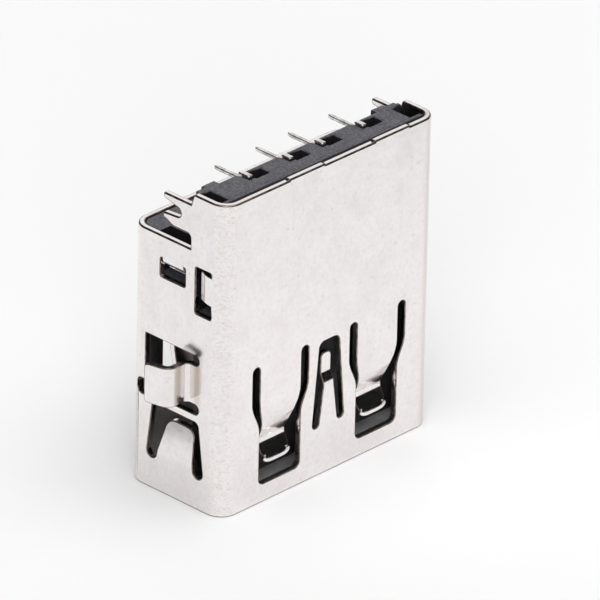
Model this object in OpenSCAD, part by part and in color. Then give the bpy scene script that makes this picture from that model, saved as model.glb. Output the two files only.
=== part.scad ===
// USB-A socket for a board with a cut-out, standing on its mouth with its rear end up.
// X runs across the width, the top wall faces -Y and the board side faces +Y.

/* [Shell] */
// Outside width across the two side walls
shell_w = 13.1; // [12.9:0.05:13.5]
// Outside height across the two broad walls
shell_h = 5.72; // [5.6:0.02:6]
// Length from the mouth to the rear rim
shell_l = 15.1; // [14.8:0.1:17]
// Thickness of the folded sheet
sheet_t = 0.3; // [0.25:0.01:0.32]
// Outside radius of the four long folds
fold_r = 0.85; // [0.6:0.05:0.9]
// How far the board-side half stops short of the rear rim
step_l = 2.65; // [2.5:0.05:2.8]
// Gap along the butt seam in the board-side wall
seam_gap = 0.08; // [0.05:0.01:0.12]
// Half length of the dovetail key in the seam
key_l = 0.9; // [0.6:0.05:1.2]
// How far the dovetail key reaches across the seam
key_w = 1.1; // [0.8:0.05:1.4]
// Distance of the dovetail key from the step in the rear end
key_back = 3.4; // [2.4:0.1:4]
// Height of the two stubs left by the carrier strip on the rear rim
stub_h = 0.06; // [0.02:0.01:0.1]
// Width of a carrier stub
stub_w = 2.2; // [1.5:0.1:2.6]
// Distance between the middles of the carrier stubs
stub_pitch = 5.25; // [4.5:0.05:5.5]
// Offset of the pair of carrier stubs from the centre line
stub_shift = 1.03; // [0.5:0.01:1.3]

/* [Board seat and fork legs] */
// Height of the top wall's outside above the board surface
seat_h = 2.46; // [2.4:0.02:2.6]
// How far the side walls stay above the board at the rear step
step_clear = 0.35; // [0.3:0.05:0.5]
// How far the fork legs reach past the board surface
leg_reach = 1.3; // [1.1:0.05:1.5]
// Distance of a fork leg's upper edge from the rear rim
fork_back = 0.53; // [0.45:0.01:0.7]
// Width of a fork leg over both prongs
fork_w = 1.44; // [1.3:0.02:1.6]
// Width of the slot between the prongs at its round root
fork_slot = 0.44; // [0.36:0.02:0.5]
// Distance of the slot's root from the prong tips
fork_slot_l = 1.05; // [0.9:0.05:1.1]
// How much the slot widens to the upper prong at its mouth
fork_flare = 0.24; // [0.1:0.02:0.26]
// How much the slot widens to the lower prong at its mouth
fork_flare_low = 0.08; // [0:0.02:0.1]
// How much the lower prong's outer edge tapers in towards its tip
fork_taper = 0.24; // [0.15:0.01:0.3]
// Radius of the inner corner under a fork leg
fork_fillet = 0.2; // [0.1:0.05:0.25]
// Length of the lower prong's taper
fork_taper_l = 0.7; // [0.5:0.05:0.9]

/* [Long springs in the top wall] */
// Distance of a long spring's centre line from the middle of the wall
spring_x = 3; // [2.95:0.05:3.2]
// Distance of the window's lower edge from the mouth
spring_win_z = 0.9; // [0.8:0.05:1.2]
// Width of the window in front of a spring
spring_win_w = 2.5; // [2.4:0.02:2.6]
// Height of the window before its sides spread
spring_win_l = 2.6; // [2.4:0.05:2.8]
// Corner radius of the window
spring_win_r = 0.3; // [0.2:0.05:0.4]
// Length over which the sides of the opening spread
spring_spread_l = 1.5; // [1.2:0.05:1.6]
// Width across the outsides of a spring's two slots
spring_slot_span = 3.42; // [3.3:0.02:3.44]
// Width of each slot beside a spring
spring_slot_w = 0.43; // [0.36:0.01:0.46]
// Length of the parallel slots
spring_slot_l = 1.49; // [1.3:0.01:1.7]
// Width of a spring at its tip
spring_tip_w = 1.7; // [1.6:0.02:1.8]
// Corner radius of a spring's tip
spring_tip_r = 0.38; // [0.3:0.02:0.44]
// Distance of the narrow part of a spring from the mouth
spring_neck_z = 2.95; // [2.8:0.05:3.1]
// Length over which a spring narrows
spring_neck_l = 2; // [1.8:0.05:2.1]
// Flat length of a spring before it slopes inwards
spring_flat_l = 1.79; // [1.7:0.01:1.85]
// Angle at which a spring slopes inwards
spring_slope = 24; // [21:0.5:25]
// Inside radius of the gentle bend where the slope starts
spring_root_r = 3; // [2.8:0.1:3.2]
// Length of the sloping part
spring_slope_l = 0.5; // [0.42:0.02:0.54]
// Angle at which the tip flares back out
spring_flare = 28; // [24:1:30]
// Length of the flared part
spring_flare_l = 0.45; // [0.38:0.01:0.5]
// Inside radius of the bend at the contact line
spring_bend_r = 0.45; // [0.35:0.05:0.5]
// Angle at which the lip at the tip turns back in
spring_lip = 30; // [20:1:35]
// Inside radius of the bend at the lip
spring_lip_r = 0.05; // [0.04:0.01:0.1]
// Straight length of the lip
spring_lip_l = 0.04; // [0.03:0.01:0.06]

/* [Short springs in the board-side wall] */
// Distance of a short spring's opening from the mouth
short_win_z = 2.9; // [2.7:0.05:2.95]
// Width of each slot beside a short spring
short_slot_w = 0.68; // [0.6:0.02:0.72]
// Angle at which a short spring slopes inwards
short_slope = 15; // [12:0.5:15.5]
// Flat length of a short spring before it slopes inwards
short_flat_l = 0.6; // [0.5:0.05:0.65]
// Inside radius of the gentle bend where a short spring's slope starts
short_root_r = 4; // [3.5:0.1:4.2]
// Length of a short spring's sloping part
short_slope_l = 0.85; // [0.7:0.05:0.9]
// Length of a short spring's flared part
short_flare_l = 0.34; // [0.28:0.02:0.4]

/* [Centre tab in the top wall] */
// Distance of the tab's slots from the mouth
tab_z = 2.38; // [2.3:0.02:2.6]
// Width across the outsides of the slots at the root
tab_span = 1.92; // [1.8:0.02:1.94]
// Width of the opening at its far end
tab_far_w = 1.24; // [1.1:0.02:1.3]
// Length of the opening
tab_open_l = 4.12; // [4:0.02:4.3]
// Width of each slot at the tab's root
tab_slot_w = 0.4; // [0.34:0.02:0.44]
// Width of the tab at its tip
tab_tip_w = 0.64; // [0.6:0.02:0.7]
// Flat length of the tab
tab_flat_l = 1.72; // [1.64:0.02:1.8]
// Angle at which the tab dips inwards
tab_dip = 25; // [18:1:28]
// Length of the dipping part
tab_dip_l = 0.3; // [0.24:0.02:0.36]
// Length of the straightened tip
tab_tip_l = 0.89; // [0.8:0.01:0.95]
// Inside radius of the tab's bends
tab_bend_r = 0.25; // [0.2:0.01:0.28]

/* [Side springs] */
// Distance of the lower ends of the slots from the mouth
side_z = 1.5; // [1.4:0.05:1.6]
// Width across the outsides of the slots at the root
side_span = 3.36; // [3.2:0.02:3.4]
// Width of the opening at its far edge
side_far_w = 2.8; // [2.6:0.02:2.9]
// Length of the opening
side_open_l = 2.7; // [2.6:0.02:2.8]
// Corner radius at the far edge of the opening
side_open_r = 0.25; // [0.15:0.05:0.35]
// Width of each slot at the root
side_slot_w = 0.58; // [0.5:0.02:0.62]
// Width of the spring at its tip
side_tip_w = 1.76; // [1.6:0.02:1.9]
// Corner radius of the spring's tip
side_tip_r = 0.5; // [0.3:0.05:0.6]
// Angle at which the spring slopes inwards
side_slope = 15; // [11:0.5:17]
// Length of the sloping part
side_slope_l = 1.55; // [1.4:0.05:1.6]
// Inside radius of the bend at the root
side_bend_r = 0.8; // [0.5:0.1:1]

/* [Ears] */
// Distance of an ear's middle from the mouth
ear_z = 6; // [5.9:0.05:6.4]
// Width of an ear
ear_w = 1.9; // [1.7:0.05:2]
// Straight length of an ear's flank on the board
ear_flank_l = 0.46; // [0.4:0.02:0.6]
// Angle by which an ear's plate splays outwards
ear_splay = 12; // [0:1:15]
// How far an ear reaches past the board surface
ear_reach = 1.02; // [0.9:0.01:1.1]
// Inside radius of the bend at the wall
ear_root_r = 0.25; // [0.2:0.01:0.32]
// Inside radius of the bend from flank to plate
ear_bend_r = 0.2; // [0.15:0.01:0.24]
// Corner radius of the ear's tip
ear_tip_r = 0.3; // [0.15:0.05:0.4]
// Width of the relief slots above and below the ear
ear_relief_w = 0.47; // [0.4:0.01:0.5]
// How far the relief slots run past the bend
ear_relief_l = 0.44; // [0.35:0.01:0.5]
// Gap left past the ear's tip when the sheet was flat
ear_blank_gap = 0.33; // [0.2:0.01:0.36]
// Diameter of the relief hole at the foot of the ear window
relief_hole_d = 0.74; // [0.6:0.02:0.8]

/* [Lock tabs in the side walls] */
// Distance of the lock tab's hinge from the rear rim
lock_back = 3.71; // [3.65:0.01:3.75]
// Offset of the lock tab's middle from the centre plane
lock_y = 0.27; // [0.2:0.01:0.3]
// Width of the lock window
lock_w = 1.5; // [1.4:0.02:1.52]
// Length of the lock window
lock_l = 0.92; // [0.86:0.01:0.96]
// Width of the slit at each side of the lock tab
lock_slit = 0.1; // [0.06:0.01:0.14]
// Length of the lock tab's slope
lock_slope_l = 0.25; // [0.2:0.01:0.28]
// Length of the lock tab's straightened tip
lock_tip_l = 0.06; // [0.04:0.01:0.08]
// Angle of the lock tab
lock_angle = 55; // [48:1:58]
// Corner radius of both openings
lock_corner_r = 0.1; // [0.05:0.01:0.15]
// Distance of the latch opening's rear edge from the rear rim
latch_back = 3.4; // [3.3:0.05:3.5]
// Length of the latch opening
latch_open_l = 2.24; // [2.2:0.02:2.4]
// Length of the latch tab
latch_l = 1.4; // [1.3:0.02:1.5]
// Gap behind the latch tab
latch_gap = 0.2; // [0.1:0.01:0.24]
// Distance of the latch hinge from the outside of the top wall
latch_hinge_h = 0.81; // [0.8:0.01:0.95]
// Width of the latch opening
latch_w = 0.97; // [0.92:0.01:1]
// Angle of the latch tab
latch_angle = 20; // [14:1:22]
// Inside radius of the latch tab's wide bend
latch_bend_r = 1; // [0.9:0.02:1.1]
// Width of the latch tab past its bend
latch_slope_l = 0.42; // [0.36:0.01:0.46]
// Inside radius of the lock tab's bends
lock_bend_r = 0.1; // [0.08:0.01:0.12]

/* [Housing] */
// Gap between the housing and the shell
fit_gap = 0.05; // [0.03:0.01:0.08]
// Length of the base, from the rear rim to the back of the plug's space
base_l = 5.9; // [5.8:0.05:6.2]
// How far the base lies inside the step
base_inset = 0.05; // [0.02:0.01:0.1]
// How far the rear face lies inside the rear rim
rear_inset = 0.12; // [0.1:0.01:0.16]
// Gap between the rear block and the board
block_clear = 0.25; // [0.2:0.01:0.3]
// Radius of the rear block's board-side edge
block_edge_r = 0.15; // [0.1:0.01:0.2]
// Width of the chamfer along the rear face's edge at the top wall
chamfer_w = 0.24; // [0.15:0.01:0.28]
// Depth of the chamfer along the rear face's edge at the top wall
chamfer_d = 0.5; // [0.4:0.02:0.6]
// Width of each foot at the ends of the rear block
foot_w = 1.2; // [1:0.05:1.4]
// Distance of a foot's outer end from the shell's outside
foot_inset = 0.5; // [0.45:0.05:0.7]
// Depth of the channels for the lock tabs
channel_d = 0.68; // [0.64:0.01:0.75]
// Room around a lock tab in its channel
channel_gap = 0.08; // [0.05:0.01:0.1]
// Extra room of the lock tab's channel on the board side
channel_room = 0.3; // [0.1:0.05:0.35]
// Distance of the pocket beside a contact from the contact's middle
pocket_x = 0.14; // [0.1:0.01:0.18]
// Width of the pocket beside a contact
pocket_w = 0.86; // [0.7:0.02:0.9]
// Height of the pocket beside a contact
pocket_h = 0.62; // [0.5:0.01:0.66]
// Wall between the pocket and the board side
pocket_wall = 0.23; // [0.2:0.01:0.28]
// Depth of the pocket
pocket_d = 1.2; // [0.8:0.05:1.5]
// Radius of the rear block's corner beside a tail
notch_r = 0.3; // [0.2:0.02:0.34]

/* [Tongue] */
// Width of the tongue
tongue_w = 11.1; // [10.9:0.02:11.1]
// Thickness of the tongue
tongue_t = 1.84; // [1.8:0.01:1.88]
// Gap between the tongue and the inside of the top wall
tongue_gap = 0.64; // [0.62:0.01:0.68]
// How far the tongue's nose lies inside the mouth
nose_inset = 0.7; // [0.6:0.05:1]
// Chamfer of the nose
nose_chamfer = 0.3; // [0.2:0.02:0.4]
// Length of the lip in front of the contact grooves
nose_lip = 0.5; // [0.45:0.05:0.6]
// Depth of the grooves that the contacts spring into
groove_d = 0.8; // [0.75:0.01:0.9]

/* [Contacts] */
// Distance of the outer contacts from the middle
outer_x = 3.5; // [3.4:0.05:3.6]
// Distance of the inner contacts from the middle
inner_x = 1; // [0.98:0.01:1.05]
// Thickness of a contact
contact_t = 0.15; // [0.14:0.01:0.2]
// Width of a contact's spring beam
beam_w = 1; // [0.9:0.02:1.05]
// Width of a contact's tail
tail_w = 0.2; // [0.18:0.01:0.24]
// How far the tails reach past the board surface
tail_reach = 1.22; // [1:0.02:1.4]
// Gap at each side of a tail in its notch
tail_gap = 0.08; // [0.05:0.01:0.1]
// Gap around a contact in the housing
contact_gap = 0.03; // [0.02:0.005:0.05]
// Distance of the tails' outer face from the rear rim
tail_back = 0.3; // [0.28:0.01:0.36]
// Distance of the contacts' rear legs above the board surface
rear_leg_h = 0.97; // [0.95:0.01:1.02]
// Inside radius of a contact's bends
contact_bend_r = 0.2; // [0.15:0.01:0.25]
// Distance of the contacts' jog from the rear rim
jog_back = 2.9; // [2.7:0.05:3]
// Angle of the jog
jog_angle = 60; // [50:1:65]
// How deep the straight beam lies under the tongue's face
beam_depth = 0.05; // [0.03:0.01:0.08]
// Distance of the beam's first bend from the mouth
beam_rise_z = 6.8; // [6.6:0.05:7]
// Angle at which the beam rises out of its groove
beam_rise = 7.5; // [6:0.5:8.5]
// Length of the rising beam
beam_rise_l = 3.4; // [3.2:0.05:3.6]
// Angle at which the beam's tip dips back
beam_dip = 26; // [22:1:28]
// Length of the beam's tip
beam_tip_l = 1.2; // [1:0.05:1.3]
// Inside radius of the beam's contact bend
crown_r = 0.4; // [0.3:0.05:0.5]
// Taper of a tail's tip at each side
tail_taper = 0.05; // [0.03:0.01:0.06]
// Length of the taper at a tail's tip
tail_taper_l = 0.2; // [0.15:0.01:0.3]

/* [Hidden] */
$fn = 64;
// Largest turn between two points of a bend
bend_step = 10;
// Number of pieces that a smooth S-shaped edge is made of
edge_parts = 8;
// Length that cutters run past a surface
over = 0.2;
// Length over which a bent tab laps into the wall that it grows from
lap = 0.3;

inner_w = shell_w - 2 * sheet_t;
inner_h = shell_h - 2 * sheet_t;
top_y = -shell_h / 2;
step_z = shell_l - step_l;
seat_y = top_y + seat_h;
step_y = seat_y - step_clear;
leg_tip_y = seat_y + leg_reach;
tail_tip_y = seat_y + tail_reach;

ear_bend_y = seat_y - ear_root_r - sheet_t;
ear_turn = 90 - ear_splay;
ear_plate_l = (ear_reach - ear_bend_r * (1 - cos(ear_turn))) / sin(ear_turn);
ear_root_arc = PI / 2 * (ear_root_r + sheet_t / 2);
ear_bend_arc = PI * ear_turn / 180 * (ear_bend_r + sheet_t / 2);
ear_blank_l = ear_root_arc + ear_flank_l + ear_bend_arc + ear_plate_l;
ear_window_y = ear_bend_y + ear_blank_l + ear_blank_gap;
ear_window_l = ear_w + 2 * ear_relief_w;

spring_root_w = spring_slot_span - 2 * spring_slot_w;
short_root_w = spring_slot_span - 2 * short_slot_w;
spring_spread_z = spring_win_z + spring_win_l;
spring_slot_z = spring_spread_z + spring_spread_l;
spring_hinge_z = spring_slot_z + spring_slot_l;
tab_root_w = tab_span - 2 * tab_slot_w;
tab_hinge_z = tab_z + tab_slot_w / 2;
side_root_w = side_span - 2 * side_slot_w;
side_hinge_z = side_z + side_slot_w / 2;

lock_z = shell_l - lock_back;
latch_z = shell_l - latch_back;
latch_hinge_y = top_y + latch_hinge_h;
latch_tab_z = latch_z - latch_gap;

base_z = shell_l - base_l;
rear_z = shell_l - rear_inset;
block_y = seat_y - block_clear;
tongue_top_y = top_y + sheet_t + tongue_gap;
tongue_face_y = tongue_top_y + tongue_t;
body_w = inner_w - 2 * fit_gap;
body_h = inner_h - 2 * fit_gap;
body_r = fold_r - sheet_t - fit_gap;
channel_x = inner_w / 2 - channel_d;

tail_z = shell_l - tail_back;
rear_leg_y = seat_y - rear_leg_h;
jog_z = shell_l - jog_back;
beam_y = tongue_face_y - beam_depth - contact_t;

// Unit vector at an angle in the plane
function dir(a) = [cos(a), sin(a)];

// A list in the other order
function reversed(v) = [for (i = [len(v) - 1:-1:0]) v[i]];

// Points reflected in the vertical axis, in the other order
function mirrored(v) = [for (p = reversed(v)) [-p[0], p[1]]];

// Points of an arc round c from angle a0 to a1
function arc(c, r, a0, a1) =
    let (n = ceil(abs(a1 - a0) / bend_step))
    [for (i = [0:n]) c + r * dir(a0 + (a1 - a0) * i / n)];

// Points of a smooth S-shaped edge from p to q, which runs straight on at both ends
function blend(p, q, n = edge_parts) = [
    for (i = [0:n]) [p[0] + (q[0] - p[0]) * (1 - cos(180 * i / n)) / 2, p[1] + (q[1] - p[1]) * i / n]
];

// Points with their two coordinates exchanged
function swapped(v) = [for (p = v) [p[1], p[0]]];

// Points of one face of a bent strip, at distance off to the left of its path. The path starts
// at p in direction a, and each step is [straight length, turn to the left, inside radius].
function strip_face(steps, t, off, p, a, k = 0) =
    let (
        q = p + steps[k][0] * dir(a),
        turn = steps[k][1],
        s = sign(turn),
        r = steps[k][2] + (turn > 0 ? t : 0),
        c = q + s * r * dir(a + 90),
        n = max(1, ceil(abs(turn) / bend_step)),
        bend = [for (i = [0:n]) c - (s * r - off) * dir(a + 90 + turn * i / n)],
        next = turn == 0 ? q : c - s * r * dir(a + 90 + turn)
    )
    concat(
        k == 0 ? [p + off * dir(a + 90)] : [],
        turn == 0 ? [q + off * dir(a + 90)] : bend,
        k + 1 < len(steps) ? strip_face(steps, t, off, next, a + turn, k + 1) : []
    );

// Outline of a bent strip of thickness t, which may be grown on both faces
function strip(steps, t, p, a, grow = 0) = concat(
    strip_face(steps, t, -grow, p, a),
    reversed(strip_face(steps, t, t + grow, p, a))
);

// End of a bent strip's path
function strip_end(steps, t, p, a) =
    let (face = strip_face(steps, t, 0, p, a))
    face[len(face) - 1];

// Extrudes a (Y, Z) outline along X
module across_x(x0, x1) {
    translate([x0, 0, 0]) rotate([90, 0, 90]) linear_extrude(x1 - x0) children();
}

// Extrudes an (X, Z) outline along Y
module across_y(y0, y1) {
    translate([0, y1, 0]) rotate([90, 0, 0]) linear_extrude(y1 - y0) children();
}

// Repeats a shape on the other side
module both_sides() {
    children();
    mirror([1, 0, 0]) children();
}

// Rectangle with round corners, centred
module round_rect(w, h, r) {
    square([w, h - 2 * r], center = true);
    square([w - 2 * r, h], center = true);
    for (x = [-1, 1], y = [-1, 1])
        translate([x * (w / 2 - r), y * (h / 2 - r)]) circle(r);
}

// Plan of a tapering tongue with round tip corners: root at z0, tip at z1, taper in n pieces
module tongue_plan(root_w, tip_w, z0, taper_z0, taper_z1, z1, tip_r, n = 1) {
    toward = sign(z1 - z0);
    corner = [tip_w / 2 - tip_r, z1 - toward * tip_r];
    right = concat(
        [[root_w / 2, z0]],
        blend([root_w / 2, taper_z0], [tip_w / 2, taper_z1], n),
        arc(corner, tip_r, 0, toward * 90)
    );
    polygon(concat(right, mirrored(right)));
}

// Opening with two round-ended slots beside the root of a tongue, which hinges at z0
module tongue_opening(root_span, slot_w, far_w, z0, z1, far_r) {
    toward = sign(z1 - z0);
    polygon([
        [-root_span / 2, z0],
        [root_span / 2, z0],
        [far_w / 2, z1 - toward * far_r],
        [far_w / 2 - far_r, z1],
        [-far_w / 2 + far_r, z1],
        [-far_w / 2, z1 - toward * far_r]
    ]);
    for (s = [-1, 1]) {
        translate([s * (root_span - slot_w) / 2, z0]) circle(d = slot_w);
        translate([s * (far_w / 2 - far_r), z1 - toward * far_r]) circle(far_r);
    }
}

// Folded tube with the step at its rear end
module folded_tube() {
    difference() {
        linear_extrude(shell_l) difference() {
            round_rect(shell_w, shell_h, fold_r);
            round_rect(inner_w, inner_h, fold_r - sheet_t);
        }
        across_x(-shell_w, shell_w) polygon([
            [step_y - step_clear / 2, shell_l + over],
            [step_y - step_clear / 2, shell_l],
            [step_y, shell_l - fork_back],
            [step_y, step_z],
            [shell_h, step_z],
            [shell_h, shell_l + over]
        ]);
    }
}

// Stubs where the carrier strip was cut off the rear rim
module carrier_stubs() {
    for (s = [-1, 1])
        translate([stub_shift + s * stub_pitch / 2 - stub_w / 2, top_y, shell_l - lap])
            cube([stub_w, sheet_t, lap + stub_h]);
}

// Dovetail across the seam, grown all round
module dovetail(grow) {
    polygon([
        [-seam_gap / 2, -key_l / 2 - grow],
        [key_w + grow, -key_l - grow],
        [key_w + grow, key_l + grow],
        [-seam_gap / 2, key_l / 2 + grow]
    ]);
}

// Butt seam with one dovetail key
module seam_cut() {
    across_y(shell_h / 2 - sheet_t - over, shell_h / 2 + over) difference() {
        union() {
            translate([-seam_gap / 2, -over]) square([seam_gap, step_z + 2 * over]);
            translate([0, step_z - key_back]) dovetail(seam_gap);
        }
        translate([0, step_z - key_back]) dovetail(0);
    }
}

// Fork leg in the plane of a side wall
module fork_plan() {
    z1 = shell_l - fork_back;
    z0 = z1 - fork_w;
    slot_z = (z0 + z1) / 2 + fork_taper / 4;
    slot_r = fork_slot / 2;
    root_y = leg_tip_y - fork_slot_l + slot_r;
    difference() {
        polygon(concat(
            [[step_y - lap, z1], [step_y - lap, z0 - fork_fillet]],
            arc([step_y + fork_fillet, z0 - fork_fillet], fork_fillet, 180, 90),
            swapped(blend([z0, leg_tip_y - fork_taper_l], [z0 + fork_taper, leg_tip_y])),
            [[leg_tip_y, z1]]
        ));
        translate([root_y, slot_z]) circle(slot_r);
        polygon([
            [root_y, slot_z - slot_r],
            [leg_tip_y + over, slot_z - slot_r - fork_flare_low],
            [leg_tip_y + over, slot_z + slot_r + fork_flare],
            [root_y, slot_z + slot_r]
        ]);
    }
}

// Opening round a long spring, centred on the spring
module spring_opening() {
    corner = [spring_win_w / 2 - spring_win_r, spring_win_z + spring_win_r];
    right = concat(
        arc(corner, spring_win_r, -90, 0),
        blend([spring_win_w / 2, spring_spread_z], [spring_slot_span / 2, spring_slot_z]),
        [[spring_slot_span / 2, spring_hinge_z]]
    );
    polygon(concat(right, mirrored(right)));
    for (s = [-1, 1])
        translate([s * (spring_slot_span - spring_slot_w) / 2, spring_hinge_z])
            circle(d = spring_slot_w);
}

// Opening round a short spring, centred on the spring
module short_opening() {
    h = spring_hinge_z - short_win_z;
    translate([0, short_win_z + h / 2]) round_rect(spring_slot_span, h, spring_win_r);
}

// Spring in the top wall: slopes in from its hinge, flares out and ends in a small lip
module spring(root_w, tip_w, flat_l, root_r, slope, slope_l, flare_l) {
    start = [top_y, spring_hinge_z + lap];
    steps = [
        [lap + flat_l, slope, root_r],
        [slope_l, -slope - spring_flare, spring_bend_r],
        [flare_l, spring_lip, spring_lip_r],
        [spring_lip_l, 0, 0]
    ];
    tip_z = strip_end(steps, sheet_t, start, -90)[1];
    intersection() {
        across_x(-root_w, root_w) polygon(strip(steps, sheet_t, start, -90));
        across_y(top_y - over, 0) tongue_plan(
            root_w, tip_w, spring_hinge_z + lap, spring_neck_z + spring_neck_l, spring_neck_z,
            min(tip_z, spring_neck_z - spring_tip_r), spring_tip_r, edge_parts
        );
    }
}

// Centre tab in the top wall: hinges at its mouth end and dips in towards its tip
module centre_tab() {
    start = [top_y + sheet_t, tab_hinge_z - lap];
    steps = [
        [lap + tab_flat_l, -tab_dip, tab_bend_r],
        [tab_dip_l, tab_dip, tab_bend_r],
        [tab_tip_l, 0, 0]
    ];
    tip_z = strip_end(steps, sheet_t, start, 90)[1];
    intersection() {
        across_x(-tab_root_w, tab_root_w) polygon(strip(steps, sheet_t, start, 90));
        across_y(top_y - over, 0) tongue_plan(
            tab_root_w, tab_tip_w, tab_hinge_z - lap, tab_hinge_z, tab_hinge_z + tab_flat_l,
            tip_z, tab_bend_r
        );
    }
}

// Side spring in the left wall: hinges at its mouth end and slopes in
module side_spring() {
    start = [-inner_w / 2, side_hinge_z - lap];
    steps = [
        [lap, -side_slope, side_bend_r],
        [side_slope_l, 0, 0]
    ];
    tip_z = strip_end(steps, sheet_t, start, 90)[1];
    intersection() {
        across_y(-shell_h / 2, shell_h / 2) polygon(strip(steps, sheet_t, start, 90));
        across_x(-shell_w / 2 - over, 0) tongue_plan(
            side_root_w, side_tip_w, side_hinge_z - lap, side_hinge_z, tip_z - side_tip_r,
            tip_z, side_tip_r
        );
    }
}

// Window that an ear leaves in the left wall, with its relief slots
module ear_window() {
    translate([ear_bend_y, ear_z - ear_window_l / 2])
        square([ear_window_y - ear_bend_y, ear_window_l]);
    for (s = [-1, 1])
        translate([ear_bend_y, ear_z + s * (ear_w + ear_relief_w) / 2]) {
            translate([ear_relief_w / 2 - ear_relief_l, -ear_relief_w / 2])
                square([ear_relief_l, ear_relief_w]);
            translate([ear_relief_w / 2 - ear_relief_l, 0]) circle(d = ear_relief_w);
        }
    translate([ear_window_y + relief_hole_d / 4, ear_z - ear_window_l / 2 + relief_hole_d / 4])
        circle(d = relief_hole_d);
}

// Ear on the left wall: bends out flat on the board, then down through it
module ear() {
    start = [-inner_w / 2, ear_bend_y - lap];
    steps = [
        [lap, 90, ear_root_r],
        [ear_flank_l, -ear_turn, ear_bend_r],
        [ear_plate_l, 0, 0]
    ];
    intersection() {
        translate([0, 0, ear_z - ear_w / 2])
            linear_extrude(ear_w) polygon(strip(steps, sheet_t, start, 90));
        across_x(-shell_w, 0) translate([0, ear_z]) rotate(-90) tongue_plan(
            ear_w, ear_w, ear_bend_y - lap, seat_y, seat_y + ear_bend_r, seat_y + ear_reach, ear_tip_r
        );
    }
}

// Openings for the lock tab and the latch tab in the left wall
module lock_openings() {
    translate([lock_y, lock_z - lock_l / 2]) round_rect(lock_w, lock_l, lock_corner_r);
    translate([latch_hinge_y + latch_w / 2, latch_z - latch_open_l / 2])
        round_rect(latch_w, latch_open_l, lock_corner_r);
}

// Lock tab in the left wall: hinges at its rear end and points to the mouth
module lock_tab() {
    steps = [
        [lap, lock_angle, lock_bend_r],
        [lock_slope_l, -lock_angle, lock_bend_r],
        [lock_tip_l, 0, 0]
    ];
    across_y(lock_y - lock_w / 2 + lock_slit, lock_y + lock_w / 2 - lock_slit)
        polygon(strip(steps, sheet_t, [-shell_w / 2, lock_z + lap], -90));
}

// Latch tab in the left wall: hinges along the wall's length, on the fold
module latch_tab() {
    steps = [
        [lap, -latch_angle, latch_bend_r],
        [latch_slope_l, 0, 0]
    ];
    translate([0, 0, latch_tab_z - latch_l]) linear_extrude(latch_l) intersection() {
        polygon(strip(steps, sheet_t, [-inner_w / 2, latch_hinge_y - lap], 90));
        round_rect(shell_w, shell_h, fold_r);
    }
}

module shell() {
    color("gainsboro") {
        difference() {
            folded_tube();
            seam_cut();
            for (s = [-1, 1]) translate([s * spring_x, 0, 0]) {
                across_y(top_y - over, top_y + sheet_t + over) spring_opening();
                across_y(-top_y - sheet_t - over, over - top_y) short_opening();
            }
            across_y(top_y - over, top_y + sheet_t + over) tongue_opening(
                tab_span, tab_slot_w, tab_far_w, tab_hinge_z, tab_z + tab_open_l, tab_far_w / 4
            );
            both_sides() across_x(-shell_w / 2 - over, -inner_w / 2 + over) {
                tongue_opening(
                    side_span, side_slot_w, side_far_w, side_hinge_z, side_z + side_open_l, side_open_r
                );
                ear_window();
                lock_openings();
            }
        }
        carrier_stubs();
        for (s = [-1, 1]) translate([s * spring_x, 0, 0]) {
            spring(
                spring_root_w, spring_tip_w, spring_flat_l, spring_root_r, spring_slope,
                spring_slope_l, spring_flare_l
            );
            mirror([0, 1, 0]) spring(
                short_root_w, short_root_w, short_flat_l, short_root_r, short_slope,
                short_slope_l, short_flare_l
            );
        }
        centre_tab();
        both_sides() {
            side_spring();
            ear();
            lock_tab();
            latch_tab();
            across_x(-shell_w / 2, -inner_w / 2) fork_plan();
        }
    }
}

// Steps of a contact from its tail to its spring tip, seen from the side
jog_arcs = (2 * contact_bend_r + contact_t) * (1 - cos(jog_angle));
jog_l = (beam_y - rear_leg_y - jog_arcs) / sin(jog_angle);
jog_drop = (2 * contact_bend_r + contact_t) * sin(jog_angle) + jog_l * cos(jog_angle);
contact_start = [tail_tip_y, tail_z];
contact_steps = [
    [tail_tip_y - rear_leg_y - contact_bend_r - contact_t, 90, contact_bend_r],
    [tail_z - contact_bend_r - contact_t - jog_z, jog_angle, contact_bend_r],
    [jog_l, -jog_angle, contact_bend_r],
    [jog_z - jog_drop - beam_rise_z, beam_rise, crown_r],
    [beam_rise_l, -beam_rise - beam_dip, crown_r],
    [beam_tip_l, 0, 0]
];

// Width of a contact along its length, grown all round by a gap
module contact_plan(grow) {
    polygon([
        [-beam_w / 2 - grow, 0],
        [beam_w / 2 + grow, 0],
        [beam_w / 2 + grow, jog_z - tail_w / 2],
        [tail_w / 2 + grow, jog_z],
        [tail_w / 2 + grow, shell_l],
        [-tail_w / 2 - grow, shell_l],
        [-tail_w / 2 - grow, jog_z],
        [-beam_w / 2 - grow, jog_z - tail_w / 2]
    ]);
}

// Corner cut off the left of a tail's tip
module tail_corner() {
    translate([0, 0, tail_z - contact_t - over]) linear_extrude(contact_t + 2 * over) polygon([
        [-tail_w / 2, tail_tip_y - tail_taper_l],
        [tail_taper - tail_w / 2, tail_tip_y],
        [tail_taper - tail_w / 2, tail_tip_y + over],
        [-tail_w, tail_tip_y + over],
        [-tail_w, tail_tip_y - tail_taper_l]
    ]);
}

// Contact at distance x from the middle
module contact(x) {
    color("silver") translate([x, 0, 0]) difference() {
        intersection() {
            across_x(-beam_w, beam_w) polygon(strip(contact_steps, contact_t, contact_start, 180));
            across_y(-shell_h, shell_h) contact_plan(0);
        }
        both_sides() tail_corner();
    }
}

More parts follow.
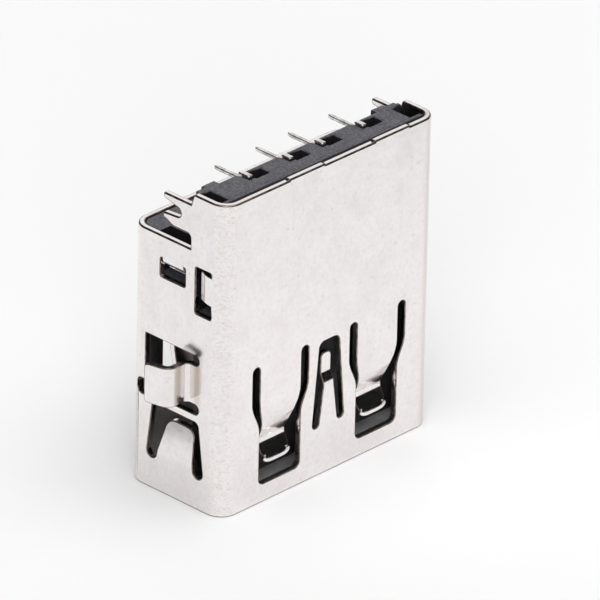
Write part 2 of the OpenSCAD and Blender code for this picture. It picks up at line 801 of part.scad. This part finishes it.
// Room for one contact: its tunnel, the notch for its tail and the groove that it springs into
module contact_room(x) {
    translate([x, 0, 0]) {
        intersection() {
            across_x(-beam_w, beam_w)
                polygon(strip(contact_steps, contact_t, contact_start, 180, contact_gap));
            across_y(-shell_h, shell_h) contact_plan(contact_gap);
        }
        translate([-tail_w / 2 - tail_gap, rear_leg_y - contact_gap, tail_z - contact_t - contact_gap])
            cube([tail_w + 2 * tail_gap, shell_h, shell_l]);
        translate([-tail_w / 2 - tail_gap - notch_r, block_y - notch_r, tail_z - contact_t - contact_gap])
            linear_extrude(shell_l) difference() {
                square([notch_r + tail_gap, notch_r + over]);
                circle(notch_r);
            }
        translate([-beam_w / 2 - contact_gap, tongue_face_y - groove_d, nose_inset + nose_lip])
            cube([beam_w + 2 * contact_gap, shell_h, beam_rise_z - nose_inset - nose_lip]);
        translate([pocket_x, block_y - pocket_wall - pocket_h, rear_z - pocket_d])
            cube([pocket_w, pocket_h, pocket_d + over]);
    }
}

// Tongue with a chamfered nose
module tongue_body() {
    c = nose_chamfer;
    intersection() {
        across_x(-tongue_w / 2, tongue_w / 2) polygon([
            [tongue_top_y, base_z + lap],
            [tongue_top_y, nose_inset + c],
            [tongue_top_y + c, nose_inset],
            [tongue_face_y - c, nose_inset],
            [tongue_face_y, nose_inset + c],
            [tongue_face_y, base_z + lap]
        ]);
        across_y(-shell_h, shell_h) polygon([
            [-tongue_w / 2, base_z + lap],
            [-tongue_w / 2, nose_inset + c],
            [-tongue_w / 2 + c, nose_inset],
            [tongue_w / 2 - c, nose_inset],
            [tongue_w / 2, nose_inset + c],
            [tongue_w / 2, base_z + lap]
        ]);
    }
}

// Base inside the whole shell and the rear block on the board
module housing_body() {
    translate([0, 0, base_z]) linear_extrude(step_z - base_inset - base_z)
        round_rect(body_w, body_h, body_r);
    intersection() {
        translate([0, 0, base_z]) linear_extrude(rear_z - base_z) round_rect(body_w, body_h, body_r);
        across_x(-shell_w, shell_w) {
            translate([-shell_h, 0]) square([shell_h + block_y, rear_z - block_edge_r]);
            translate([-shell_h, 0]) square([shell_h + block_y - block_edge_r, rear_z + over]);
            translate([block_y - block_edge_r, rear_z - block_edge_r]) circle(block_edge_r);
        }
    }
    both_sides() translate([foot_inset - shell_w / 2, block_y - lap, step_z])
        cube([foot_w, seat_y - block_y + lap, rear_z - step_z]);
}

// Chamfer along the rear face's edge at the top wall
module rear_chamfer() {
    across_x(-shell_w, shell_w) polygon([
        [-shell_h, rear_z - chamfer_d],
        [-body_h / 2, rear_z - chamfer_d],
        [chamfer_w - body_h / 2, rear_z],
        [chamfer_w - body_h / 2, rear_z + over],
        [-shell_h, rear_z + over]
    ]);
}

// Channels that the lock tab and the latch tab of the left wall lie in
module tab_channels() {
    translate([-shell_w / 2, lock_y - lock_w / 2 - channel_gap, lock_z - lock_l - channel_gap])
        cube([shell_w / 2 - channel_x, lock_w + 2 * channel_gap + channel_room, shell_l]);
    translate([-shell_w / 2, latch_hinge_y, latch_z - latch_open_l - channel_gap])
        cube([shell_w / 2 - channel_x, latch_w + 2 * channel_gap, shell_l]);
}

module housing() {
    color("dimgray") difference() {
        union() {
            tongue_body();
            housing_body();
        }
        rear_chamfer();
        both_sides() tab_channels();
        for (x = [-outer_x, -inner_x, inner_x, outer_x])
            contact_room(x);
    }
}

module contact_vbus() {
    contact(-outer_x);
}

module contact_d_minus() {
    contact(-inner_x);
}

module contact_d_plus() {
    contact(inner_x);
}

module contact_gnd() {
    contact(outer_x);
}

shell();
housing();
contact_vbus();
contact_d_minus();
contact_d_plus();
contact_gnd();
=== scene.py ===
import math

import bpy
import numpy as np
from mathutils import Matrix, Vector


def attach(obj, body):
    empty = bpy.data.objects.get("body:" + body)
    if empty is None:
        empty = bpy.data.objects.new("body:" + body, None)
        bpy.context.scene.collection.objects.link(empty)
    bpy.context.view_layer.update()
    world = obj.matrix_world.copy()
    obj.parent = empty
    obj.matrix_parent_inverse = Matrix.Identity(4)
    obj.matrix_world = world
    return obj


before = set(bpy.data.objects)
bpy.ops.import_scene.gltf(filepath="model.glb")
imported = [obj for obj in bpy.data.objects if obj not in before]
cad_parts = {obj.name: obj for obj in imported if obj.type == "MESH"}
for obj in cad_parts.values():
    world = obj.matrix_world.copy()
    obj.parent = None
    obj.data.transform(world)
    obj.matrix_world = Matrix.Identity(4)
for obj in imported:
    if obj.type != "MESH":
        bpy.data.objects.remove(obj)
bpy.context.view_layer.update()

# Shell: one blank of 0.3 mm sheet, pierced, folded into a tube and nickel plated. Its springs, ears,
# lanced tabs and fork legs are bent out of the same sheet. The plating is bright, with faint warm clouds
# and a fine stipple where the sheet stretched along the folds, and the sheared edges are bare and brown.
MM = 0.001
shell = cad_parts["shell"]
SHEAR_ANGLE = math.radians(35)


def edge_marks(name, sharp_parts=(), fine_below=0.0, fine_share=1.0):
    """Node group that shades smooth across gentle bends and marks every sharper edge for rounding.

    An edge stays sharp where its middle lies in one of the sharp parts, each a (middle, half size) box.
    Edges under the height fine_below get the fine share of the rounding.
    """
    group = bpy.data.node_groups.new(name, "GeometryNodeTree")
    for way in ("INPUT", "OUTPUT"):
        group.interface.new_socket("Geometry", in_out=way, socket_type="NodeSocketGeometry")

    def node(kind, operation=None, *values):
        """Adds a node and fills its inputs in order, with sockets or plain values."""
        made = group.nodes.new(kind)
        if operation:
            made.operation = operation
        for socket, value in zip(made.inputs, values):
            if isinstance(value, bpy.types.NodeSocket):
                group.links.new(value, socket)
            else:
                socket.default_value = value
        return made.outputs

    def number(operation, *values):
        """One arithmetic step."""
        return node("ShaderNodeMath", operation, *values)[0]

    def vector(operation, *values):
        """One arithmetic step on vectors."""
        return node("ShaderNodeVectorMath", operation, *values)[0]

    bend = node("GeometryNodeInputMeshEdgeAngle")["Unsigned Angle"]
    sharp = node("FunctionNodeCompare", "GREATER_THAN", bend, SHEAR_ANGLE)[0]
    place = node("GeometryNodeInputPosition")[0]
    weight = sharp
    for middle, half in sharp_parts:
        inside = vector("SUBTRACT", half, vector("ABSOLUTE", vector("SUBTRACT", place, middle)))
        x, y, z = node("ShaderNodeSeparateXYZ", None, inside)
        depth = number("MINIMUM", number("MINIMUM", x, y), z)
        weight = number("MULTIPLY", weight, number("LESS_THAN", depth, 0.0))
    height = node("ShaderNodeSeparateXYZ", None, place)["Z"]
    share = number("MULTIPLY_ADD", number("LESS_THAN", height, fine_below), fine_share - 1.0, 1.0)
    weight = number("MULTIPLY", weight, share)

    shade = group.nodes.new("GeometryNodeSetMeshNormal")
    shade.inputs["Remove Custom"].default_value = True
    shade.inputs["Face Sharpness"].default_value = False
    store = group.nodes.new("GeometryNodeStoreNamedAttribute")
    store.domain = "EDGE"
    store.inputs["Name"].default_value = "bevel_weight_edge"
    group.links.new(group.nodes.new("NodeGroupInput").outputs[0], shade.inputs["Mesh"])
    group.links.new(sharp, shade.inputs["Edge Sharpness"])
    group.links.new(shade.outputs[0], store.inputs["Geometry"])
    group.links.new(weight, store.inputs["Value"])
    group.links.new(store.outputs[0], group.nodes.new("NodeGroupOutput").inputs[0])
    return group


WELD_GAP = 0.002 * MM
FLAT_ANGLE = math.radians(0.4)
EDGE_STEPS = 2


def round_edges(piece, marks, width, strip_slot=0):
    """Joins the piece's triangles into flat faces and rounds each marked edge by the width.

    The rounded strips take the material in the strip slot.
    """
    piece.modifiers.new("join", "WELD").merge_threshold = WELD_GAP
    flat = piece.modifiers.new("flat", "DECIMATE")
    flat.decimate_type = "DISSOLVE"
    flat.angle_limit = FLAT_ANGLE
    piece.modifiers.new("marks", "NODES").node_group = marks
    rounded = piece.modifiers.new("rounded", "BEVEL")
    rounded.width = width
    rounded.segments = EDGE_STEPS
    rounded.limit_method = "WEIGHT"
    rounded.use_clamp_overlap = False
    rounded.harden_normals = True
    rounded.material = strip_slot


class Finish:
    """A material's node tree, with short calls for the nodes that the finishes share."""

    def __init__(self, name):
        self.material = bpy.data.materials.new(name)
        self.material.use_nodes = True
        self.tree = self.material.node_tree
        self.shader = self.tree.nodes["Principled BSDF"]
        coordinates = self.tree.nodes.new("ShaderNodeTexCoord")
        self.place = coordinates.outputs["Object"]
        self.normal = coordinates.outputs["Normal"]

    def link(self, source, target):
        """Joins a socket to another, or sets a plain value on it."""
        if isinstance(source, bpy.types.NodeSocket):
            self.tree.links.new(source, target)
        else:
            target.default_value = source

    def surface(self, **values):
        """Sets or joins sockets of the shader, named with _ for each space."""
        for name, value in values.items():
            self.link(value, self.shader.inputs[name.replace("_", " ")])

    def noise(self, scale, detail, roughness, place=None):
        """Fractal noise of that many cells a metre, 0 to 1."""
        node = self.tree.nodes.new("ShaderNodeTexNoise")
        node.inputs["Scale"].default_value = scale
        node.inputs["Detail"].default_value = detail
        node.inputs["Roughness"].default_value = roughness
        self.link(place or self.place, node.inputs["Vector"])
        return node.outputs["Fac"]

    def spread(self, value, low, high, to_low=0.0, to_high=1.0):
        """Smooth step of a value from low..high to to_low..to_high."""
        node = self.tree.nodes.new("ShaderNodeMapRange")
        node.interpolation_type = "SMOOTHSTEP"
        for socket, limit in zip(list(node.inputs)[1:5], (low, high, to_low, to_high)):
            socket.default_value = limit
        self.link(value, node.inputs["Value"])
        return node.outputs["Result"]

    def times(self, a, b):
        """Product of two values."""
        node = self.tree.nodes.new("ShaderNodeMath")
        node.operation = "MULTIPLY"
        self.link(a, node.inputs[0])
        self.link(b, node.inputs[1])
        return node.outputs[0]

    def vector(self, operation, a, b=None):
        """One vector step, which gives a plain value for DISTANCE and DOT_PRODUCT."""
        node = self.tree.nodes.new("ShaderNodeVectorMath")
        node.operation = operation
        self.link(a, node.inputs[0])
        if b is not None:
            self.link(b, node.inputs[1])
        return node.outputs["Value" if operation in ("DISTANCE", "DOT_PRODUCT") else "Vector"]

    def mix(self, factor, a, b):
        """Colour a turning into colour b as the factor goes from 0 to 1."""
        node = self.tree.nodes.new("ShaderNodeMix")
        node.data_type = "RGBA"
        self.link(factor, node.inputs["Factor"])
        self.link(a, node.inputs[6])
        self.link(b, node.inputs[7])
        return node.outputs[2]

    def bump(self, height, depth, strength, onto=None):
        """Surface relief of that depth in metres, laid on another relief if there is one."""
        node = self.tree.nodes.new("ShaderNodeBump")
        node.inputs["Distance"].default_value = depth
        node.inputs["Strength"].default_value = strength
        self.link(height, node.inputs["Height"])
        if onto is not None:
            self.link(onto, node.inputs["Normal"])
        return node.outputs["Normal"]

    def cover(self, piece):
        """Puts the finish in the piece's first material slot."""
        piece.material_slots[0].material = self.material


X_WAY = (1.0, 0.0, 0.0)
Y_WAY = (0.0, 1.0, 0.0)
Z_WAY = (0.0, 0.0, 1.0)
XY_PART = (1.0, 1.0, 0.0)
FADE = (1.0, 0.0)
nickel = Finish("nickel_plate")

# Plating: slow clouds, a fine grain, a few tarnished specks, and cracks drawn out across the folds.
NICKEL = (0.880, 0.848, 0.842, 1.0)
NICKEL_CLOUD = (0.830, 0.790, 0.783, 1.0)
NICKEL_GRAIN_AND_SHADE = (0.72, 0.68, 0.67, 1.0)
NICKEL_RUBBED = (0.945, 0.915, 0.905, 1.0)
TARNISH = (0.42, 0.33, 0.28, 1.0)
STRETCHED = (0.52, 0.40, 0.33, 1.0)
CLOUDS = {"scale": 900.0, "detail": 6.0, "roughness": 0.7}
GRAIN = {"scale": 5200.0, "detail": 3.0, "roughness": 0.6}
SPECKS = {"scale": 5200.0, "detail": 2.0, "roughness": 0.5}
CRACKS = {"scale": 6000.0, "detail": 8.0, "roughness": 0.8}
CRACK_STRETCH = (1.0, 1.0, 1.8)
CLOUD_RANGE = (0.35, 0.75)
GRAIN_RANGE = (0.38, 0.72)
SPECK_RANGE = (0.70, 0.78)
CRACK_RANGE = (0.46, 0.70)
clouds = nickel.noise(**CLOUDS)
grain = nickel.noise(**GRAIN)
specks = nickel.spread(nickel.noise(**SPECKS), *SPECK_RANGE)
cracks = nickel.noise(**CRACKS, place=nickel.vector("MULTIPLY", nickel.place, CRACK_STRETCH))

# Folds: the four long corners of the tube, rubbed bright and cracked, with painted shade darkening the fold
# on the +X side.
FOLD_X = (5.55 * MM, 6.00 * MM)
FOLD_Y = (1.85 * MM, 2.30 * MM)
mirrored = nickel.vector("ABSOLUTE", nickel.place)
fold = nickel.times(nickel.spread(nickel.vector("DOT_PRODUCT", mirrored, X_WAY), *FOLD_X),
                    nickel.spread(nickel.vector("DOT_PRODUCT", mirrored, Y_WAY), *FOLD_Y))
stretched = nickel.times(fold, nickel.spread(cracks, *CRACK_RANGE))
painted_shade_side = nickel.spread(nickel.vector("DOT_PRODUCT", nickel.place, X_WAY), *FOLD_X)

# Ear bands: painted shade, darker strips along the side wall on both sides of each ear's root, where the
# wall mirrors the ear.
EAR_PAINTED_SHADE = (0.70, 0.645, 0.60, 1.0)
EAR_ROOT = (6.80 * MM, 0.95 * MM, 0.0)
EAR_HEIGHT = (0.0, 0.0, 6.0 * MM)
BAND_START = (0.25 * MM, 0.36 * MM)
BAND_END = (0.45 * MM, 0.70 * MM)
BAND_LENGTH = (0.8 * MM, 1.2 * MM)
from_root = nickel.vector("DISTANCE", nickel.vector("MULTIPLY", mirrored, XY_PART), EAR_ROOT)
from_middle = nickel.vector("DISTANCE", nickel.vector("MULTIPLY", mirrored, Z_WAY), EAR_HEIGHT)
ear_painted_shade = nickel.times(nickel.spread(from_root, *BAND_START), nickel.spread(from_root, *BAND_END, *FADE))
ear_painted_shade = nickel.times(ear_painted_shade, nickel.spread(from_middle, *BAND_LENGTH, *FADE))

GRAIN_SHARE = 0.4
SPECK_SHARE = 0.5
RUBBED_SHARE = 0.4
CRACK_SHARE = 0.6
colour = nickel.mix(nickel.spread(clouds, *CLOUD_RANGE), NICKEL, NICKEL_CLOUD)
colour = nickel.mix(nickel.spread(grain, *GRAIN_RANGE, 0.0, GRAIN_SHARE), colour, NICKEL_GRAIN_AND_SHADE)
colour = nickel.mix(nickel.times(specks, SPECK_SHARE), colour, TARNISH)
colour = nickel.mix(nickel.times(fold, RUBBED_SHARE), colour, NICKEL_RUBBED)
# Painted shade: the fold on the +X side turns toward the darker grain colour.
colour = nickel.mix(nickel.times(fold, painted_shade_side), colour, NICKEL_GRAIN_AND_SHADE)
colour = nickel.mix(nickel.times(stretched, CRACK_SHARE), colour, STRETCHED)
# Painted shade on the side wall beside each ear's root.
colour = nickel.mix(ear_painted_shade, colour, EAR_PAINTED_SHADE)

GLOSS_RANGE = (0.3, 0.75)
NICKEL_GLOSS = (0.13, 0.19)
CLOUD_DEPTH = 0.002 * MM
GRAIN_DEPTH = 0.0012 * MM
CRACK_DEPTH = 0.002 * MM
RELIEF_STRENGTH = 0.5
relief = nickel.bump(clouds, CLOUD_DEPTH, RELIEF_STRENGTH)
relief = nickel.bump(grain, GRAIN_DEPTH, RELIEF_STRENGTH, relief)
relief = nickel.bump(stretched, CRACK_DEPTH, RELIEF_STRENGTH, relief)
nickel.surface(Metallic=1.0, Base_Color=colour, Normal=relief,
               Roughness=nickel.spread(clouds, *GLOSS_RANGE, *NICKEL_GLOSS))
nickel.cover(shell)

# Sheared edges: wider on the rear rims than at the slots and windows. One short stretch of the
# board-side wall's rim stays sharp.
SHEARED = (0.32, 0.265, 0.235, 1.0)
SHEARED_DARK = (0.14, 0.11, 0.095, 1.0)
SHEAR_MARKS = {"scale": 4000.0, "detail": 3.0, "roughness": 0.55}
SHEAR_RANGE = (0.35, 0.65)
SHEARED_ROUGHNESS = 0.32
SHEET_EDGE = 0.07 * MM
REAR_RIM_Z = 12.3 * MM
FINE_SHARE = 0.7
SHARP_RIM = ((2.87 * MM, 2.7 * MM, 12.45 * MM), (0.5 * MM, 0.3 * MM, 0.1 * MM))
STRIP_SLOT = 1
sheared = Finish("sheared_edge")
shear_marks = sheared.spread(sheared.noise(**SHEAR_MARKS), *SHEAR_RANGE)
sheared.surface(Metallic=1.0, Roughness=SHEARED_ROUGHNESS,
                Base_Color=sheared.mix(shear_marks, SHEARED, SHEARED_DARK))
shell.data.materials.append(sheared.material)
round_edges(shell, edge_marks("sheet_edges", [SHARP_RIM], REAR_RIM_Z, FINE_SHARE), SHEET_EDGE, STRIP_SLOT)

# Spring ends: the two long springs in the top wall flare out at their free ends, and the last of the
# sheet is turned upright into a rounded hem. They belong to the shell's sheet and carry its plating.
HEM_MIDDLE = (3.0 * MM, -2.62 * MM, 1.805 * MM)
HEM_HALF = (0.80 * MM, 0.12 * MM, 0.10 * MM)
HEM_LIFT = 0.15 * MM
FLARE_MIDDLE = (3.0 * MM, -2.547 * MM, 1.985 * MM)
FLARE_HALF = (0.66 * MM, 0.12 * MM, 0.15 * MM)
FLARE_LEAN = math.tan(math.radians(28))
BLOCK_POWER = 0.3
BLOCK_AROUND = 96
BLOCK_ROWS = 47


def soft_block(name, middle, half, lift=0.0, lean=0.0):
    """Closed block with round edges about the middle, with lifted ends, leaning in Y as it rises.

    Each point is the half size times the signed power of (cos v cos u, cos v sin u, sin v), with u round
    the block and v from its lower pole to its upper one. It then moves in Y by lean * z and in Z by
    lift * (x / half)^4.
    """
    u, v = np.meshgrid(np.linspace(-np.pi, np.pi, BLOCK_AROUND, endpoint=False),
                       np.linspace(-np.pi / 2, np.pi / 2, BLOCK_ROWS + 2)[1:-1])
    ball = np.stack([np.cos(v) * np.cos(u), np.cos(v) * np.sin(u), np.sin(v)], axis=-1).reshape(-1, 3)
    shape = np.vstack([np.sign(ball) * np.abs(ball) ** BLOCK_POWER, [(0.0, 0.0, -1.0), (0.0, 0.0, 1.0)]])
    points = np.array(middle) + np.array(half) * shape
    points[:, 1] += lean * half[2] * shape[:, 2]
    points[:, 2] += lift * shape[:, 0] ** 4

    j = np.arange(BLOCK_AROUND)
    k = np.roll(j, -1)
    row = BLOCK_AROUND * np.arange(BLOCK_ROWS - 1)[:, None]
    above = row + BLOCK_AROUND
    sides = np.stack([row + j, row + k, above + k, above + j], axis=-1).reshape(-1, 4)
    last = BLOCK_AROUND * (BLOCK_ROWS - 1)
    lower_pole = np.full(BLOCK_AROUND, len(ball))
    lower_cap = np.stack([lower_pole, k, j], axis=-1)
    upper_cap = np.stack([lower_pole + 1, last + j, last + k], axis=-1)
    mesh = bpy.data.meshes.new(name)
    mesh.from_pydata(points.tolist(), [], sides.tolist() + lower_cap.tolist() + upper_cap.tolist())
    mesh.shade_smooth()
    block = bpy.data.objects.new(name, mesh)
    bpy.context.scene.collection.objects.link(block)
    return block


for side_name, side in (("left", -1.0), ("right", 1.0)):
    mirror = np.array([side, 1.0, 1.0])
    hem = soft_block(f"spring_hem_{side_name}", mirror * HEM_MIDDLE, HEM_HALF, lift=HEM_LIFT)
    flare = soft_block(f"spring_flare_{side_name}", mirror * FLARE_MIDDLE, FLARE_HALF, lean=FLARE_LEAN)
    for spring_end in (hem, flare):
        spring_end.data.materials.append(nickel.material)
        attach(spring_end, "root")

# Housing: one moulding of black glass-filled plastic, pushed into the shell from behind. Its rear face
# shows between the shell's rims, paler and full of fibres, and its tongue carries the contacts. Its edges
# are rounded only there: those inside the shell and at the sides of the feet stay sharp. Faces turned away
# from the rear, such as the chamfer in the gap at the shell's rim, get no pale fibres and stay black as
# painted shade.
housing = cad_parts["housing"]
INSULATOR = (0.016, 0.015, 0.018, 1.0)
REAR_DARK = (0.044, 0.042, 0.049, 1.0)
REAR_PALE = (0.155, 0.150, 0.170, 1.0)
FIBRES = {"scale": 8000.0, "detail": 6.0, "roughness": 0.75}
PATCHES = {"scale": 1500.0, "detail": 3.0, "roughness": 0.5}
FIBRE_RANGE = (0.36, 0.72)
PATCH_RANGE = (0.3, 0.7)
REAR_FACING = (0.8, 0.97)
INSULATOR_GLOSS = (0.42, 0.62)
FIBRE_DEPTH = 0.012 * MM
FIBRE_STRENGTH = 0.6
insulator = Finish("black_insulator")
fibres = insulator.noise(**FIBRES)
patches = insulator.noise(**PATCHES)
# Only faces turned up get the pale fibres; faces turned aside stay black, as painted shade in the gaps by
# the shell.
free_of_painted_shade = insulator.spread(insulator.vector("DOT_PRODUCT", insulator.normal, Z_WAY), *REAR_FACING)
rear_colour = insulator.mix(insulator.spread(fibres, *FIBRE_RANGE), REAR_DARK, REAR_PALE)
insulator.surface(Base_Color=insulator.mix(free_of_painted_shade, INSULATOR, rear_colour),
                  Roughness=insulator.spread(patches, *PATCH_RANGE, *INSULATOR_GLOSS),
                  Normal=insulator.bump(fibres, FIBRE_DEPTH, FIBRE_STRENGTH))
insulator.cover(housing)

MOULD_EDGE = 0.06 * MM
INSIDE_SHELL = ((0.0, 0.0, 8.0 * MM), (7.0 * MM, 3.0 * MM, 6.75 * MM))
FOOT_X = (-6.05 * MM, -4.85 * MM, 4.85 * MM, 6.05 * MM)
FOOT_Y = -0.6 * MM
FOOT_Z = 14.9 * MM
FOOT_SIDE_HALF = (0.05 * MM, 0.25 * MM, 0.2 * MM)
foot_sides = [((x, FOOT_Y, FOOT_Z), FOOT_SIDE_HALF) for x in FOOT_X]
round_edges(housing, edge_marks("mould_edges", [INSIDE_SHELL, *foot_sides]), MOULD_EDGE)

# Contacts: four strips stamped from bronze sheet, bent and tin plated, pushed into channels in the
# tongue. They come up in the notches of the rear face, turn over a rounded elbow and run out as tails
# that are soldered into the board.
TIN = (0.80, 0.78, 0.75, 1.0)
TIN_DULL = (0.50, 0.47, 0.44, 1.0)
MATTING = {"scale": 3000.0, "detail": 4.0, "roughness": 0.6}
DULL_RANGE = (0.4, 0.75)
MATT_RANGE = (0.3, 0.7)
TIN_GLOSS = (0.2, 0.34)
MATT_DEPTH = 0.003 * MM
MATT_STRENGTH = 0.5
tin = Finish("tin_plate")
matting = tin.noise(**MATTING)
tin.surface(Metallic=1.0, Base_Color=tin.mix(tin.spread(matting, *DULL_RANGE), TIN, TIN_DULL),
            Roughness=tin.spread(matting, *MATT_RANGE, *TIN_GLOSS),
            Normal=tin.bump(matting, MATT_DEPTH, MATT_STRENGTH))

CONTACT_EDGE = 0.03 * MM
CONTACT_X = {"vbus": -3.5 * MM, "d_minus": -1.0 * MM, "d_plus": 1.0 * MM, "gnd": 3.5 * MM}
ELBOW_Y = -1.07 * MM
ELBOW_Z = 14.95 * MM
ELBOW_HALF = (0.14 * MM, 0.27 * MM, 0.13 * MM)
contact_edges = edge_marks("contact_edges")
for name, x in CONTACT_X.items():
    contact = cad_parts[f"contact_{name}"]
    tin.cover(contact)
    contact.data.materials.append(sheared.material)
    round_edges(contact, contact_edges, CONTACT_EDGE, STRIP_SLOT)
    elbow = soft_block(f"tail_elbow_{name}", (x, ELBOW_Y, ELBOW_Z), ELBOW_HALF)
    elbow.data.materials.append(tin.material)
    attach(elbow, "root")

# Floor: a wide round sheet of matt white paper, lying flat. The socket stands on it, mouth down.
PAPER = (0.95, 0.95, 0.95, 1.0)
PAPER_ROUGHNESS = 0.9
PAPER_R = 0.6
PAPER_POINTS = 33


def grid_sheet(name, points):
    """Object whose mesh runs through a grid of points: rows, columns, coordinates."""
    rows, columns, _ = points.shape
    corner = columns * np.arange(rows - 1)[:, None] + np.arange(columns - 1)
    quads = np.stack([corner, corner + 1, corner + columns + 1, corner + columns], axis=-1)
    mesh = bpy.data.meshes.new(name)
    mesh.from_pydata(points.reshape(-1, 3).tolist(), [], quads.reshape(-1, 4).tolist())
    sheet = bpy.data.objects.new(name, mesh)
    bpy.context.scene.collection.objects.link(sheet)
    return sheet


def disc(radius, count):
    """Grid on a disc: a square's (u, v) moved to radius * (u sqrt(1 - v^2 / 2), v sqrt(1 - u^2 / 2))."""
    u, v = np.meshgrid(np.linspace(-1.0, 1.0, count), np.linspace(-1.0, 1.0, count))
    x = radius * u * np.sqrt(1.0 - v ** 2 / 2)
    y = radius * v * np.sqrt(1.0 - u ** 2 / 2)
    return np.stack([x, y, np.zeros_like(u)], axis=-1)


floor = grid_sheet("floor", disc(PAPER_R, PAPER_POINTS))
paper = Finish("white_paper")
paper.surface(Base_Color=PAPER, Roughness=PAPER_ROUGHNESS, Specular_IOR_Level=0.0)
floor.data.materials.append(paper.material)

# Camera: a long lens nearly half a metre from the socket, at its front left and 28 degrees above the
# floor. It is turned and shifted so that the target falls on its pixel of the picture.
AZIMUTH = math.radians(-46.405)
ELEVATION = math.radians(27.793)
ROLL = math.radians(1.228)
DISTANCE = 470.5 * MM
PIXELS_PER_MM = 23.117
PICTURE = 600
TARGET = Vector((0.0, 0.0, 7.5 * MM))
TARGET_PIXEL = (282.713, 295.919)
SENSOR = 36.0
NEAR_CLIP = 0.01
FAR_CLIP = 10.0
front = Vector((math.sin(AZIMUTH), -math.cos(AZIMUTH), 0.0))
level = Vector((math.cos(AZIMUTH), math.sin(AZIMUTH), 0.0))
upward = Vector(Z_WAY)
back = math.cos(ELEVATION) * front + math.sin(ELEVATION) * upward
upright = back.cross(level)
right = math.cos(ROLL) * level + math.sin(ROLL) * upright
up = math.cos(ROLL) * upright - math.sin(ROLL) * level
shift_right = (PICTURE / 2 - TARGET_PIXEL[0]) * MM / PIXELS_PER_MM
shift_down = (PICTURE / 2 - TARGET_PIXEL[1]) * MM / PIXELS_PER_MM
aim = TARGET + shift_right * right - shift_down * up
lens = bpy.data.cameras.new("camera")
lens.sensor_width = SENSOR
lens.lens = PIXELS_PER_MM * DISTANCE / MM / PICTURE * SENSOR
lens.clip_start = NEAR_CLIP
lens.clip_end = FAR_CLIP
camera = bpy.data.objects.new("camera", lens)
camera_turn = Matrix((right, up, back)).transposed().to_4x4()
camera.matrix_world = Matrix.Translation(aim + DISTANCE * back) @ camera_turn
scene = bpy.context.scene
scene.collection.objects.link(camera)
scene.camera = camera

# Light: a white sweep behind the socket, a white ceiling tilted to the front and a narrow fill around
# the camera, in a room that is dark elsewhere. A soft box hangs high on the right, and two black velvet
# cards at the sides, seen only in reflections, draw the dark lines in the metal.
ROOM_DARK = 0.03
CEILING_TILT = math.radians(12.0)
CEILING_REACH = (0.76, 0.90)
CEILING_GLOW = 1.99
SWEEP_REACH = (0.70, 0.82)
SWEEP_GLOW = 0.97
FILL_REACH = (0.93, 0.97)
FILL_GLOW = 3.5
WHITE = (1.0, 1.0, 1.0, 1.0)
scene.view_settings.view_transform = "Standard"
room = bpy.data.worlds.new("room")
scene.world = room
room.use_nodes = True
nodes = room.node_tree.nodes
links = room.node_tree.links
direction = nodes.new("ShaderNodeTexCoord").outputs["Generated"]


def glow(way, reach, strength):
    """Light from one side of the room: rises with direction . way, from dark at the first reach to full."""
    facing = nodes.new("ShaderNodeVectorMath")
    facing.operation = "DOT_PRODUCT"
    facing.inputs[1].default_value = way
    step = nodes.new("ShaderNodeMapRange")
    step.interpolation_type = "SMOOTHSTEP"
    for socket, limit in zip(list(step.inputs)[1:5], (*reach, ROOM_DARK, strength)):
        socket.default_value = limit
    links.new(direction, facing.inputs[0])
    links.new(facing.outputs["Value"], step.inputs["Value"])
    return step.outputs["Result"]


ceiling_way = math.sin(CEILING_TILT) * front + math.cos(CEILING_TILT) * upward
brightest = glow(ceiling_way, CEILING_REACH, CEILING_GLOW)
for other in (glow(-front, SWEEP_REACH, SWEEP_GLOW), glow(back, FILL_REACH, FILL_GLOW)):
    larger = nodes.new("ShaderNodeMath")
    larger.operation = "MAXIMUM"
    links.new(brightest, larger.inputs[0])
    links.new(other, larger.inputs[1])
    brightest = larger.outputs[0]
nodes["Background"].inputs["Color"].default_value = WHITE
links.new(brightest, nodes["Background"].inputs["Strength"])

BOX_RISE = math.radians(62.0)
BOX_AWAY = 0.5
BOX_SIDE = 0.4
BOX_WATTS = 0.58
box_light = bpy.data.lights.new("soft_box", "AREA")
box_light.shape = "SQUARE"
box_light.size = BOX_SIDE
box_light.energy = BOX_WATTS
soft_box = bpy.data.objects.new("soft_box", box_light)
box_way = math.cos(BOX_RISE) * level + math.sin(BOX_RISE) * upward
box_turn = box_way.to_track_quat("Z", "Y").to_matrix().to_4x4()
soft_box.matrix_world = Matrix.Translation(BOX_AWAY * box_way) @ box_turn
scene.collection.objects.link(soft_box)

VELVET = (0.01, 0.01, 0.01, 1.0)
CARD_AWAY = 40 * MM
CARD_W = 90 * MM
CARD_H = 75 * MM


def card_corners(way, away, width, height):
    """Corners of an upright card across the way: away * way + u * width * sideways + v * height * up."""
    u, v = np.meshgrid((-0.5, 0.5), (0.0, 1.0))
    sideways = np.array(upward.cross(way))
    return away * np.array(way) + u[..., None] * width * sideways + v[..., None] * height * np.array(upward)


velvet = Finish("black_velvet")
velvet.surface(Base_Color=VELVET, Roughness=1.0, Specular_IOR_Level=0.0)
for name, way in (("right_card", level), ("left_card", -level)):
    card = grid_sheet(name, card_corners(way, CARD_AWAY, CARD_W, CARD_H))
    card.visible_camera = False
    card.visible_diffuse = False
    card.visible_shadow = False
    card.visible_transmission = False
    card.data.materials.append(velvet.material)
